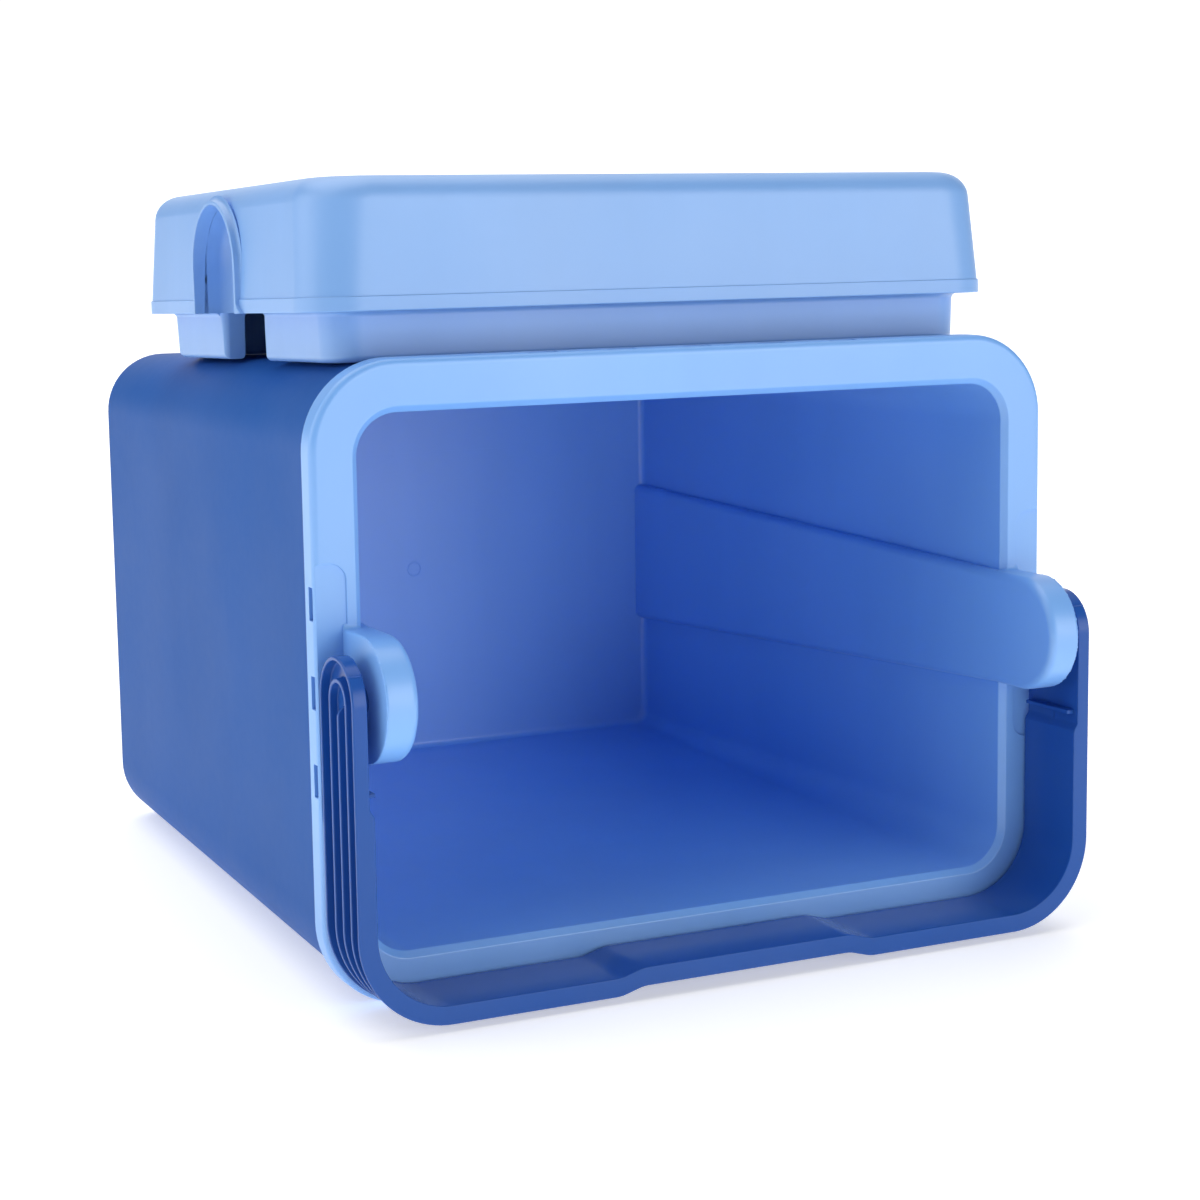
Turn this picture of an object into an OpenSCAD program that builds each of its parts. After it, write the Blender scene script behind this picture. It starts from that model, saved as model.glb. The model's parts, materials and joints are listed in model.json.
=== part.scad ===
// Cooler chest lying on its long side, with its lid lifted off and laid on top
// and its carrying handle hanging in front of the opening.
//
// Each sub-part is drawn in the chest's own frame or in the lid's own frame, and
// then put in place. Chest frame: X along the long side, Y across the width,
// Z out of the opening, with the origin at the centre of the rim's face.
// Lid frame: the same axes, with the origin at the centre of the lid's seat.

/* [Chest] */
// Length of the rim, end to end
rim_l = 400; // [390:1:410]
// Width of the rim, front to back
rim_w = 302; // [296:1:308]
// Corner radius of the rim
rim_r = 42; // [38:1:46]
// Depth of the skirt that hangs from the rim
skirt_h = 12.4; // [11:0.1:14]
// Height of the chest from its underside to the rim's face
chest_h = 389.5; // [380:0.5:400]
// Length of the outer shell near its underside
base_l = 369; // [360:1:378]
// Width of the outer shell near its underside
base_w = 275; // [268:1:284]
// Corner radius of the outer shell near its underside
base_r = 34; // [30:1:38]
// Radius of the edge round the underside
base_edge = 8; // [6:1:10]
// Wall thickness of every moulding
wall = 3; // [2.5:0.1:3.2]

/* [Cavity] */
// Length of the opening
open_l = 353.5; // [350:0.5:354]
// Width of the opening
open_w = 252.5; // [248:0.5:256]
// Corner radius of the opening
open_r = 20; // [16:1:24]
// Depth of the cavity below the rim's face
cavity_d = 368; // [362:1:369]
// Length of the cavity's floor
floor_l = 319.5; // [316:0.5:324]
// Width of the cavity's floor
floor_w = 225; // [220:1:230]
// Corner radius of the cavity's floor
floor_r = 8; // [6:1:26]
// Width of the raised band on each end wall, at the rim
band_top_w = 59; // [57:1:60]
// Width of the raised band on each end wall, at the floor
band_floor_w = 86; // [80:1:92]

/* [Pivot lugs] */
// Distance from the middle to a lug's inner face
lug_in = 170.5; // [170:0.1:171]
// Distance from the middle to a lug's outer face
lug_out = 186.4; // [186:0.1:187]
// Radius of a lug's rounded end
lug_r = 29; // [28:0.5:29.5]
// Height of the pivot line above the rim's face
pivot_h = 22.5; // [22.5:0.1:23]
// Radius of the handle's pivot boss
boss_r = 6; // [5:0.5:8]
// Gap between a boss and its socket, all round
boss_gap = 0.06; // [0.03:0.01:0.1]

/* [Handle] */
// Distance from the middle to a handle arm's outer edge
arm_out = 199.6; // [199:0.1:200]
// Depth of the handle's channel section
channel_d = 9.1; // [9:0.1:9.1]
// Width of the handle's channel section
arm_w = 42; // [41:0.5:42]
// Reach of the handle from the pivot line to the far side of its grip
reach = 149.7; // [149.4:0.1:150]
// Outer radius of the handle's corners
bail_r = 45; // [42:1:48]
// Thickness of the handle's web and ribs
rib = 2.2; // [2:0.1:2.4]
// Length of the grip, the middle of the handle that is set in
grip_l = 114; // [106:1:122]
// How far the grip is set in towards the pivot line
grip_in = 3.4; // [3:0.1:4]

/* [Lid] */
// Length of the lid at its lower edge
lid_l = 375.5; // [374:0.5:376]
// Width of the lid at its lower edge
lid_w = 273; // [272:0.5:275]
// Corner radius of the lid
lid_r = 26; // [24:1:30]
// Height of the lid above its seat
lid_h = 62.3; // [61:0.1:64]
// Radius of the lid's upper edge
lid_edge = 12.5; // [11:0.5:14]
// Depth of the plug ring below the seat
plug_h = 23.7; // [22:0.1:25]
// How far the plug ring is set in from the lid's edge
plug_in = 12.2; // [12.2:0.1:13]
// Width of the plug ring's section
plug_t = 12; // [11:0.5:13]
// Corner radius of the plug ring
plug_r = 17; // [16:1:20]
// Radius of the arched notch that clears a lug
notch_r = 31.2; // [30.5:0.1:31.5]

/* [Placing] */
// Distance from the middle of the chest to the middle of the laid-off lid
lid_shift = -1.5; // [-6:0.5:6]
// How far the front of the plug ring stands behind the rim's face
lid_back = 32.3; // [16:0.1:60]

/* [Hidden] */
$fn = 48;
hull_fn = 32;

// Clearances
fit = 0.3;
rest_gap = 0.2;
eps = 0.05;

// How far a cut runs past what it cuts, and the thickness of one level of a hull
past = 1;
skin = 0.02;

// How far the middle of a rounded edge is set in, as a share of its radius
mid_edge = 0.3;

// The shell hangs inside the rim's skirt
skirt_t = 2.5;
shell_l = rim_l - 2 * (skirt_t + fit);
shell_w = rim_w - 2 * (skirt_t + fit);
shell_r = rim_r - skirt_t - fit;
shell_top = -wall - rest_gap;
shell_foot = base_edge - chest_h;

// Lean of the long side, and the tilt of a chest that lies on it
side_slope = (shell_w - base_w) / 2 / (shell_top - shell_foot);
lie_angle = atan((rim_w - base_w) / 2 / (-skirt_h - shell_foot));
drop = rim_w / 2 * cos(lie_angle) + skirt_h * sin(lie_angle);

// Snap slots in the skirt: their size, their pitch and how many a side has
slot_l = 15.5;
slot_h = 4.6;
slot_z = -4.9;
slot_pitch = 41;
end_slots = 3;
side_slots = 5;
barb_out = 1.6;
barb_gap = 0.5;

// Pivot sockets and the shallow seat that the folded handle's arms lie over
socket_wall = 3.5;
seat_half = 59.4;
seat_d = 1;
seat_corner = 8;
seat_lap = 2;
band_out = open_l / 2 - lug_in;
core_side = 4;
core_top = 4;
core_in = 0.5;

// Handle: the arm is cut back near the pivot to clear the lid's arches, and has
// one rib across its inner face there
arm_in = arm_out - channel_d;
relief = 2.2;
relief_from = 47;
relief_t = 1.5;
web_in = arm_in + relief;
cross_y = 40;
cross_t = 2;
cross_h = 4.1;
cross_half = 17.6;
rib_in = 0.6;
rib_top = 2;
boss_end = 0.5;
grip_slope = 12;

// Insulation boards, which narrow a little towards the foot
board_gap = 0.6;
board_half_l = 146;
board_half_w = 96;
board_foot = 0.94;
board_sink = 12;
board_lean = 0.2;

// Lid
lid_lean = 2.8;
lid_top_l = lid_l - 2 * lid_lean;
lid_top_w = lid_w - 2 * lid_lean;
lid_wall = 2.5;
lid_band_h = 6.9;
lid_band_t = 0.3;
arch_lip = 2.2;
pocket_floor = lug_in - 1.7;
plug_l = lid_l - 2 * plug_in;
plug_w = lid_w - 2 * plug_in;
plug_lean = 1;
plug_foot_w = plug_w - 2 * plug_lean;
foam_in = 6;
foam_top_gap = 1;
groove_in = 1;

// The laid-off lid lies flat on the long side of the shell, behind the skirt
lid_tilt = atan(side_slope);
lid_rest_y = shell_w / 2 - side_slope * (lid_back + shell_top) + rest_gap;

// Rounded rectangle, drawn with exact arcs
module rounded_rect(l, w, r) {
    square([l - 2 * r, w], center = true);
    square([l, w - 2 * r], center = true);
    for (x = [-1, 1], y = [-1, 1])
        translate([x * (l / 2 - r), y * (w / 2 - r)])
            circle(r);
}

// Thin rounded plate, used as one level of a hull
module level(l, w, r, z) {
    translate([0, 0, z])
        linear_extrude(skin)
            rounded_rect(l, w, r, $fn = hull_fn);
}

// Tapered body between two levels
module taper(top, foot, z_top, z_foot) {
    hull() {
        level(top[0], top[1], top[2], z_top - skin);
        level(foot[0], foot[1], foot[2], z_foot);
    }
}

// Arch in the plane of an end wall: a half-round of radius r about the pivot line,
// on straight legs that reach down to foot, running from x0 to x1 on the +X side
module arch(r, x0, x1, foot) {
    difference() {
        translate([x0, 0, pivot_h])
            rotate([0, 90, 0])
                cylinder(h = x1 - x0, r = r);
        translate([x0 - past, -2 * r, foot - 2 * r])
            cube([x1 - x0 + 2 * past, 4 * r, 2 * r]);
    }
    translate([x0, -r, foot])
        cube([x1 - x0, 2 * r, pivot_h - foot]);
}

// Draw the children on both ends
module both_ends() {
    children();
    mirror([1, 0, 0])
        children();
}

// Put the chest on its long side, with the opening towards -Y
module lie_down() {
    translate([0, -depth_shift, drop])
        rotate([90 - lie_angle, 0, 0])
            children();
}

// Put the lid on the upper long side
module lay_lid() {
    lie_down()
        translate([lid_shift, lid_rest_y, -lid_back])
            rotate([-90 - lid_tilt, 0, 0])
                translate([0, plug_foot_w / 2, plug_h])
                    children();
}

// The origin is under the middle of the whole object's box
front_reach = (pivot_h + arm_w / 2) * cos(lie_angle) + reach * sin(lie_angle);
rear_reach = chest_h * cos(lie_angle) + (base_w / 2 - base_edge) * sin(lie_angle);
depth_shift = (rear_reach - front_reach) / 2;

// Snap slots, or the barbs that fill them, along one pair of sides
module slot_row(count, at, l, h, out0, out1) {
    for (i = [0 : count - 1], s = [0, 180])
        rotate([0, 0, s])
            translate([out0, (i - (count - 1) / 2) * at - l / 2, slot_z - h / 2])
                cube([out1 - out0, l, h]);
}

module skirt_slots(l, h, inset0, inset1) {
    slot_row(end_slots, slot_pitch, l, h, rim_l / 2 - inset0, rim_l / 2 + inset1);
    rotate([0, 0, 90])
        slot_row(side_slots, slot_pitch, l, h, rim_w / 2 - inset0, rim_w / 2 + inset1);
}

// Dark outer tub, with the barbs that snap into the rim's skirt
module outer_shell() {
    edge_in = base_edge * mid_edge;
    color("#4969A0")
        lie_down() {
            difference() {
                hull() {
                    level(shell_l, shell_w, shell_r, shell_top - skin);
                    level(base_l, base_w, base_r, shell_foot);
                    level(base_l - 2 * edge_in, base_w - 2 * edge_in, base_r - edge_in, edge_in - chest_h);
                    level(base_l - 2 * base_edge, base_w - 2 * base_edge, base_r - base_edge, -chest_h);
                }
                taper(
                    [shell_l - 2 * wall, shell_w - 2 * wall, shell_r - wall],
                    [base_l - 2 * wall, base_w - 2 * wall, base_r - wall],
                    past, wall - chest_h
                );
            }
            skirt_slots(
                slot_l - 2 * barb_gap, slot_h - 2 * barb_gap,
                skirt_t + fit + wall / 2, barb_out - skirt_t
            );
        }
}

// Raised band on one end wall: tapered, wider at the floor
module band(out, half_top, half_floor, in_top, in_floor, z_floor) {
    hull() {
        translate([in_top, -half_top, -wall])
            cube([out, 2 * half_top, skin]);
        translate([in_floor, -half_floor, z_floor])
            cube([out, 2 * half_floor, skin]);
    }
}

// Hollow pivot lug with its socket, on the +X end
module lug() {
    difference() {
        arch(lug_r, lug_in, lug_out, -wall);
        arch(lug_r - wall, lug_in + wall, lug_out - wall, -2 * wall);
    }
    translate([lug_in + wall / 2, 0, pivot_h])
        rotate([0, 90, 0])
            cylinder(h = lug_out - lug_in - wall, r = boss_r + socket_wall);
}

// Pale inner moulding: cavity, rim, skirt and the two pivot lugs
module liner() {
    wall_in = open_l / 2;
    floor_in = floor_l / 2;
    color("#9FC4F0")
        lie_down()
            difference() {
                union() {
                    difference() {
                        translate([0, 0, -skirt_h])
                            linear_extrude(skirt_h)
                                rounded_rect(rim_l, rim_w, rim_r);
                        translate([0, 0, -skirt_h - past])
                            linear_extrude(skirt_h + past - wall)
                                rounded_rect(rim_l - 2 * skirt_t, rim_w - 2 * skirt_t, rim_r - skirt_t);
                        translate([0, 0, -wall - past])
                            linear_extrude(wall + 2 * past)
                                rounded_rect(open_l, open_w, open_r);
                    }
                    difference() {
                        taper(
                            [open_l + 2 * wall, open_w + 2 * wall, open_r + wall],
                            [floor_l + 2 * wall, floor_w + 2 * wall, floor_r + wall],
                            -wall / 2, -cavity_d - wall
                        );
                        taper([open_l, open_w, open_r], [floor_l, floor_w, floor_r], past, -cavity_d);
                    }
                    both_ends() {
                        band(
                            band_out + wall / 2, band_top_w / 2, band_floor_w / 2,
                            lug_in, floor_in - band_out, -cavity_d
                        );
                        translate([lug_in, -band_top_w / 2, -wall])
                            cube([lug_out - lug_in, band_top_w, wall]);
                        lug();
                    }
                }
                both_ends() {
                    translate([lug_in + wall, 0, pivot_h])
                        rotate([0, 90, 0])
                            cylinder(h = lug_out - lug_in, r = boss_r + boss_gap);
                    translate([wall_in + wall - core_in, core_side - lug_r, -2 * wall])
                        cube([
                            lug_out - wall_in - 2 * wall + core_in, 2 * (lug_r - core_side),
                            2 * wall + core_top
                        ]);
                    handle_seat();
                }
                skirt_slots(slot_l, slot_h, skirt_t + past, past);
            }
}

// Shallow seat round one lug, cut into the rim's face
module handle_seat() {
    edge = lug_out - seat_lap;
    translate([edge + seat_corner, -seat_half, -seat_d])
        cube([rim_l / 2 - edge, 2 * seat_half, seat_d + eps]);
    translate([lug_out, seat_corner - seat_half, -seat_d])
        cube([seat_corner, 2 * (seat_half - seat_corner), seat_d + eps]);
    for (s = [-1, 1]) {
        translate([edge + seat_corner, s * (seat_half - seat_corner), -seat_d])
            cylinder(h = seat_d + eps, r = seat_corner);
        translate([edge, s > 0 ? lug_r : seat_corner - seat_half, -seat_d])
            cube([seat_corner, seat_half - seat_corner - lug_r, seat_d + eps]);
    }
}

// One flat insulation board in the tapered space between liner and shell.
// at_top and at_foot are the distances of its middle plane from the chest's axis.
module board(half_l, at_top, at_foot, thick) {
    top_z = -wall - board_sink;
    foot_z = -cavity_d - wall;
    hull() {
        translate([-half_l, at_top - thick / 2, top_z])
            cube([2 * half_l, thick, skin]);
        translate([-half_l * board_foot, at_foot - thick / 2, foot_z])
            cube([2 * half_l * board_foot, thick, skin]);
    }
}

module side_board() {
    top_gap = (shell_w - open_w) / 2 - 2 * wall;
    board(
        board_half_l,
        open_w / 2 + wall + top_gap / 2 - board_lean, floor_w / 2 + wall + top_gap / 2,
        top_gap - 2 * board_gap
    );
}

module end_board() {
    top_gap = (shell_l - open_l) / 2 - 2 * wall;
    rotate([0, 0, 90])
        board(
            board_half_w,
            open_l / 2 + wall + top_gap / 2 - board_lean, floor_l / 2 + wall + top_gap / 2,
            top_gap - 2 * board_gap
        );
}

module foam_front() {
    color("white")
        lie_down()
            mirror([0, 1, 0])
                side_board();
}

module foam_rear() {
    color("white")
        lie_down()
            side_board();
}

module foam_left() {
    color("white")
        lie_down()
            end_board();
}

module foam_right() {
    color("white")
        lie_down()
            mirror([1, 0, 0])
                end_board();
}

// The board under the cavity's floor
module foam_base() {
    color("white")
        lie_down()
            translate([0, 0, wall + board_gap - chest_h])
                linear_extrude(chest_h - cavity_d - 2 * wall - 2 * board_gap)
                    rounded_rect(floor_l, floor_w, floor_r);
}

// Points on an arc
function arc(cx, cy, r, a0, a1, n = 12) =
    [for (i = [0 : n]) [cx + r * cos(a0 + (a1 - a0) * i / n), cy + r * sin(a0 + (a1 - a0) * i / n)]];

// Outline of the bail, set in by o from its outer edge, with legs up to y = top
function bail_points(o, top) =
    let (
        half = arm_out - o,
        low = o - reach,
        r = bail_r - o,
        cx = arm_out - bail_r,
        cy = bail_r - reach,
        g = grip_l / 2
    )
    concat(
        [[-half, top]],
        arc(-cx, cy, r, 180, 270),
        [[-g - grip_slope, low], [-g, low + grip_in], [g, low + grip_in], [g + grip_slope, low]],
        arc(cx, cy, r, 270, 360),
        [[half, top]]
    );

// Wall of the bail between two insets, over a height h from z
module bail_wall(o0, o1, z, h, top, inner_top) {
    translate([0, 0, z])
        linear_extrude(h)
            difference() {
                polygon(bail_points(o0, top));
                polygon(bail_points(o1, inner_top));
            }
}

// Half-round wall at an arm's end, about the pivot line, on the +X side
module arm_end_ring(r, t, x0, x1) {
    difference() {
        translate([x0, 0, 0])
            rotate([0, 90, 0])
                cylinder(h = x1 - x0, r = r);
        if (t > 0)
            translate([x0 - past, 0, 0])
                rotate([0, 90, 0])
                    cylinder(h = x1 - x0 + 2 * past, r = r - t);
        translate([x0 - past, -2 * r, -2 * r])
            cube([x1 - x0 + 2 * past, 2 * r, 4 * r]);
    }
}

// Dark U-shaped carrying handle: a web with five outward ribs, and a pivot boss
// moulded on the inner face of each arm
module handle() {
    half_w = arm_w / 2;
    pitch = (arm_w - rib) / 4;
    web_out = web_in + rib;
    color("#3A61AC")
        lie_down()
            translate([0, 0, pivot_h]) {
                difference() {
                    union() {
                        bail_wall(channel_d - rib, channel_d, -half_w, arm_w, 0, past);
                        for (i = [-2, 2])
                            bail_wall(0, channel_d, i * pitch - rib / 2, rib, 0, past);
                        for (i = [-1, 1])
                            bail_wall(rib_in, channel_d, i * pitch - rib / 2, rib, 0, past);
                        bail_wall(rib_in, channel_d, -rib / 2, rib, -rib_top, past);
                        both_ends() {
                            translate([arm_in, -relief_from - relief_t, -half_w])
                                cube([relief + rib, relief_from + relief_t, arm_w]);
                            arm_end_ring(half_w, rib, arm_in, arm_out);
                            arm_end_ring(half_w, 0, web_in, web_out);
                            arm_end_ring(pitch + rib / 2, rib, web_in, arm_out - rib_in);
                        }
                    }
                    both_ends()
                        translate([arm_in - past, -relief_from, -half_w - past])
                            cube([relief + past, relief_from + 2 * half_w, arm_w + 2 * past]);
                }
                both_ends() {
                    translate([lug_in + wall + past, 0, 0])
                        rotate([0, 90, 0])
                            cylinder(h = web_out - lug_in - wall - past - boss_end, r = boss_r);
                    translate([web_in - cross_h, -cross_y - cross_t / 2, -cross_half])
                        cube([cross_h + rib / 2, cross_t, 2 * cross_half]);
                }
            }
}

// Space inside the lid's top, set in by gap
module lid_space(gap) {
    inset = 2 * (lid_wall + gap);
    hull() {
        level(lid_l - inset, lid_w - inset, lid_r - inset / 2, -past);
        level(lid_top_l - inset, lid_top_w - inset, lid_r - lid_lean - inset / 2, lid_h - lid_edge);
        level(
            lid_top_l - 2 * lid_edge - 2 * gap, lid_top_w - 2 * lid_edge - 2 * gap,
            lid_r - lid_edge - gap, lid_h - inset / 2
        );
    }
}

// Pale top of the lid, with an arched, lipped notch in each end
module lid_cap() {
    edge_in = lid_edge * mid_edge;
    color("#96BBEB")
        lay_lid()
            difference() {
                union() {
                    hull() {
                        level(lid_l, lid_w, lid_r, 0);
                        level(lid_top_l, lid_top_w, lid_r - lid_lean, lid_h - lid_edge);
                        level(
                            lid_top_l - 2 * edge_in, lid_top_w - 2 * edge_in, lid_r - lid_lean,
                            lid_h - edge_in
                        );
                        level(
                            lid_top_l - 2 * lid_edge, lid_top_w - 2 * lid_edge, lid_r - lid_edge,
                            lid_h - skin
                        );
                    }
                    linear_extrude(lid_band_h)
                        rounded_rect(lid_l + 2 * lid_band_t, lid_w + 2 * lid_band_t, lid_r + lid_band_t);
                    both_ends()
                        arch(notch_r + lid_wall, lid_l / 2 - lid_edge, lid_l / 2 + arch_lip, 0);
                }
                lid_space(0);
                both_ends()
                    arch(notch_r, lid_l / 2 - lid_edge - past, lid_l / 2 + arch_lip + past, -past);
            }
}

// Pale underside of the lid: seat panel, plug ring and a pocket for each lug
module lid_inner() {
    seat_l = lid_l - 2 * lid_wall - 2 * fit;
    seat_w = lid_w - 2 * lid_wall - 2 * fit;
    color("#A8CAF4")
        lay_lid()
            difference() {
                union() {
                    linear_extrude(lid_wall)
                        rounded_rect(seat_l, seat_w, lid_r - lid_wall - fit);
                    taper(
                        [plug_l, plug_w, plug_r], [plug_l - 2 * plug_lean, plug_foot_w, plug_r - plug_lean],
                        0.1, -plug_h
                    );
                    intersection() {
                        lid_space(fit);
                        both_ends()
                            arch(notch_r + lid_wall, pocket_floor - lid_wall, lid_l / 2, 0);
                    }
                }
                translate([0, 0, -plug_h - past])
                    linear_extrude(plug_h + past)
                        rounded_rect(plug_l - 2 * plug_t, plug_w - 2 * plug_t, plug_r - plug_t / 2);
                difference() {
                    translate([0, 0, lid_wall - plug_h])
                        linear_extrude(plug_h + past)
                            rounded_rect(
                                plug_l - 2 * (lid_wall + groove_in), plug_w - 2 * (lid_wall + groove_in),
                                plug_r - lid_wall
                            );
                    translate([0, 0, -plug_h])
                        linear_extrude(plug_h)
                            rounded_rect(
                                plug_l - 2 * plug_t + 2 * lid_wall, plug_w - 2 * plug_t + 2 * lid_wall,
                                plug_r - plug_t / 2 + lid_wall
                            );
                    translate([0, 0, -eps])
                        linear_extrude(plug_h)
                            rounded_rect(
                                plug_l - 2 * (plug_t - past), plug_w - 2 * (plug_t - past),
                                plug_r - plug_t / 2
                            );
                    both_ends()
                        arch(notch_r + lid_wall, pocket_floor - plug_t, lid_l / 2, -plug_h);
                }
                both_ends() {
                    arch(notch_r, pocket_floor, lid_l / 2 + past, -eps);
                    translate([plug_l / 2 - plug_t - past, -notch_r, -plug_h - past])
                        cube([plug_t + 2 * past, 2 * notch_r, plug_h + past]);
                }
            }
}

// The board inside the lid
module lid_foam() {
    foam_l = 2 * (pocket_floor - lid_wall - board_gap);
    foam_w = plug_w - 2 * foam_in;
    color("white")
        lay_lid()
            translate([0, 0, lid_wall + board_gap])
                linear_extrude(lid_h - 2 * lid_wall - 2 * board_gap - foam_top_gap)
                    rounded_rect(foam_l, foam_w, plug_r);
}

outer_shell();
liner();
foam_front();
foam_rear();
foam_left();
foam_right();
foam_base();
handle();
lid_cap();
lid_inner();
lid_foam();
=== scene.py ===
import json
import math

import bmesh
import bpy
from mathutils import Matrix, Vector, noise


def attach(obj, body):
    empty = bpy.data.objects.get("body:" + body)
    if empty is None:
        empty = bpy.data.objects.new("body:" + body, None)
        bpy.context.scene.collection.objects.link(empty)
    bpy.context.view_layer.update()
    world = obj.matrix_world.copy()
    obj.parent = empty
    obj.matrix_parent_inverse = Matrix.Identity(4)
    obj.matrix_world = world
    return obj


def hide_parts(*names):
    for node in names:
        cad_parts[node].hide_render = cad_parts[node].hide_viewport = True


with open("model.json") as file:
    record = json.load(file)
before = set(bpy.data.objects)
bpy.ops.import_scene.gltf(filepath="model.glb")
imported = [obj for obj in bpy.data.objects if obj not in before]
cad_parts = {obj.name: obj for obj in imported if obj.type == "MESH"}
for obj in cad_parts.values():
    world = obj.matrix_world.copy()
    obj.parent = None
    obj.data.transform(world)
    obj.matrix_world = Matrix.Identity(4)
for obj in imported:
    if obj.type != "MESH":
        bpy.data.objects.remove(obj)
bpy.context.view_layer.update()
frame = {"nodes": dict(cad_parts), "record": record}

# ---------------------------------------------------------------- sizes, in millimetres
# Most of them repeat the CAD part's own sizes, and the rest shape finer detail. Chest
# frame: X along the long side, Y across the width, Z out of the opening, origin at the
# centre of the rim's face. A rounded rectangle is given as length, width, corner radius.
MM = 0.001
CHEST_H = 389.5
RIM = (400.0, 302.0, 42.0)
SKIRT_H, SKIRT_T = 12.4, 2.5
BASE = (369.0, 275.0, 34.0)
BASE_EDGE = 8.0
WALL = 3.0
OPENING = (353.5, 252.5, 20.0)
FLOOR = (319.5, 225.0, 8.0)
CAVITY_D = 368.0
BAND_FLOOR, BAND_IN_FLOOR = 43.0, 153.5
LUG_IN, LUG_OUT, LUG_R, PIVOT_H = 170.5, 186.4, 29.0, 22.5
BOSS_R, BOSS_GAP = 6.0, 0.06
ARM_OUT, CHANNEL_D, ARM_W, REACH, BAIL_R = 199.6, 9.1, 42.0, 149.7, 45.0
RIB, RELIEF = 2.2, 2.2
RIB_TIP, RIB_DRAFT = 0.6, 0.15
GRIP_L, GRIP_IN, GRIP_SLOPE, GRIP_SOFT = 114.0, 3.4, 12.0, 2.5
LID = (375.5, 273.0, 26.0)
LID_LEAN, LID_H, LID_EDGE, LID_WALL = 2.8, 62.3, 12.5, 2.5
LID_BAND_H, LID_BAND_T = 6.9, 0.3
PLUG_H, PLUG_IN, PLUG_T, PLUG_R, PLUG_LEAN = 23.7, 12.2, 12.0, 17.0, 1.0
NOTCH_R, ARCH_LIP, POCKET_FLOOR = 31.2, 2.2, 168.8
LID_SHIFT, LID_BACK, REST_GAP, FIT = -1.5, 32.3, 0.2, 0.3
SHELL = (RIM[0] - 2 * (SKIRT_T + FIT), RIM[1] - 2 * (SKIRT_T + FIT), RIM[2] - SKIRT_T - FIT)
SHELL_TOP = -WALL - REST_GAP
SLOT_L, SLOT_H, SLOT_Z, SLOT_PITCH, SLOT_EDGE = 15.5, 4.6, -4.9, 41.0, 0.45
END_SLOTS, SIDE_SLOTS = 3, 5
SEAT_HALF, SEAT_D, SEAT_CORNER = 59.4, 1.0, 8.0
PAST = 2.0  # how far a boolean's tool runs on past the solid it cuts or joins

# ---------------------------------------------------------------- frames
base_mount = next(m for m in frame["record"]["mounts"] if m["name"] == "base")
AXIS_Z = -Vector(base_mount["axis"]).normalized()
AXIS_X = Vector((1, 0, 0))
AXIS_Y = AXIS_Z.cross(AXIS_X)
ORIGIN = Vector(base_mount["pos_m"]) + AXIS_Z * CHEST_H * MM
AXES = Matrix((AXIS_X, AXIS_Y, AXIS_Z)).transposed().to_4x4()
CHEST = Matrix.Translation(ORIGIN) @ AXES @ Matrix.Scale(MM, 4)
side_slope = (SHELL[1] - BASE[1]) / 2 / (SHELL_TOP - BASE_EDGE + CHEST_H)
lid_rest_y = SHELL[1] / 2 - side_slope * (LID_BACK + SHELL_TOP) + REST_GAP
plug_foot_w = LID[1] - 2 * PLUG_IN - 2 * PLUG_LEAN
LID_FRAME = (
    CHEST
    @ Matrix.Translation((LID_SHIFT, lid_rest_y, -LID_BACK))
    @ Matrix.Rotation(-math.pi / 2 - math.atan(side_slope), 4, "X")
    @ Matrix.Translation((0, plug_foot_w / 2, PLUG_H))
)
MIRROR_X = Matrix.Scale(-1, 4, AXIS_X)
BOTH_ENDS = (None, MIRROR_X)


# ---------------------------------------------------------------- shape tools
def rounded(points, radii, steps=6, plane=(0, 1)):
    """Rounds the inner corners of a polyline of points in any number of dimensions.
    The radius is measured in the two coordinates that plane names."""
    i, j = plane
    out = []
    last = len(points) - 1
    for k, (point, r) in enumerate(zip(points, radii)):
        c = Vector(point)
        if r <= 0 or k in (0, last):
            out.append(c)
            continue
        u = Vector(points[k - 1]) - c
        v = Vector(points[k + 1]) - c
        u /= math.hypot(u[i], u[j])
        v /= math.hypot(v[i], v[j])
        cosine = max(-1.0, min(1.0, u[i] * v[i] + u[j] * v[j]))
        angle = math.acos(cosine)
        if angle > math.pi - 1e-3:
            out.append(c)
            continue
        t = r / math.tan(angle / 2)
        centre = c + (u + v) * (r / math.sin(angle))
        a, b = c + u * t, c + v * t
        turn = math.pi - angle
        for s in range(steps + 1):
            f = s / steps
            wa, wb = math.sin((1 - f) * turn) / math.sin(turn), math.sin(f * turn) / math.sin(turn)
            out.append(centre + (a - centre) * wa + (b - centre) * wb)
    return out


def quarter(steps):
    """Sine and cosine over a quarter turn, from 0 to 90 degrees."""
    for k in range(steps + 1):
        a = math.pi / 2 * k / steps
        yield math.sin(a), math.cos(a)


def full_turn(steps):
    """Angles of a full turn, in equal steps."""
    return [2 * math.pi * k / steps for k in range(steps)]


def smooth(t):
    """Eases from 0 to 1 with level ends."""
    return t * t * (3 - 2 * t)


def rect_loop(half_l, half_w, r, z, corner=12):
    """Rounded rectangle at height z, the same number of points at any size."""
    pts = []
    for q, (sx, sy) in enumerate(((1, 1), (-1, 1), (-1, -1), (1, -1))):
        cx, cy = sx * (half_l - r), sy * (half_w - r)
        for k in range(corner + 1):
            a = math.pi / 2 * (q + k / corner)
            pts.append(Vector((cx + r * math.cos(a), cy + r * math.sin(a), z)))
    return pts


def half(size, z, inset=0.0):
    """A profile point for rect_loft: half length, half width, corner radius, height."""
    return (size[0] / 2 - inset, size[1] / 2 - inset, size[2] - inset, z)


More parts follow.
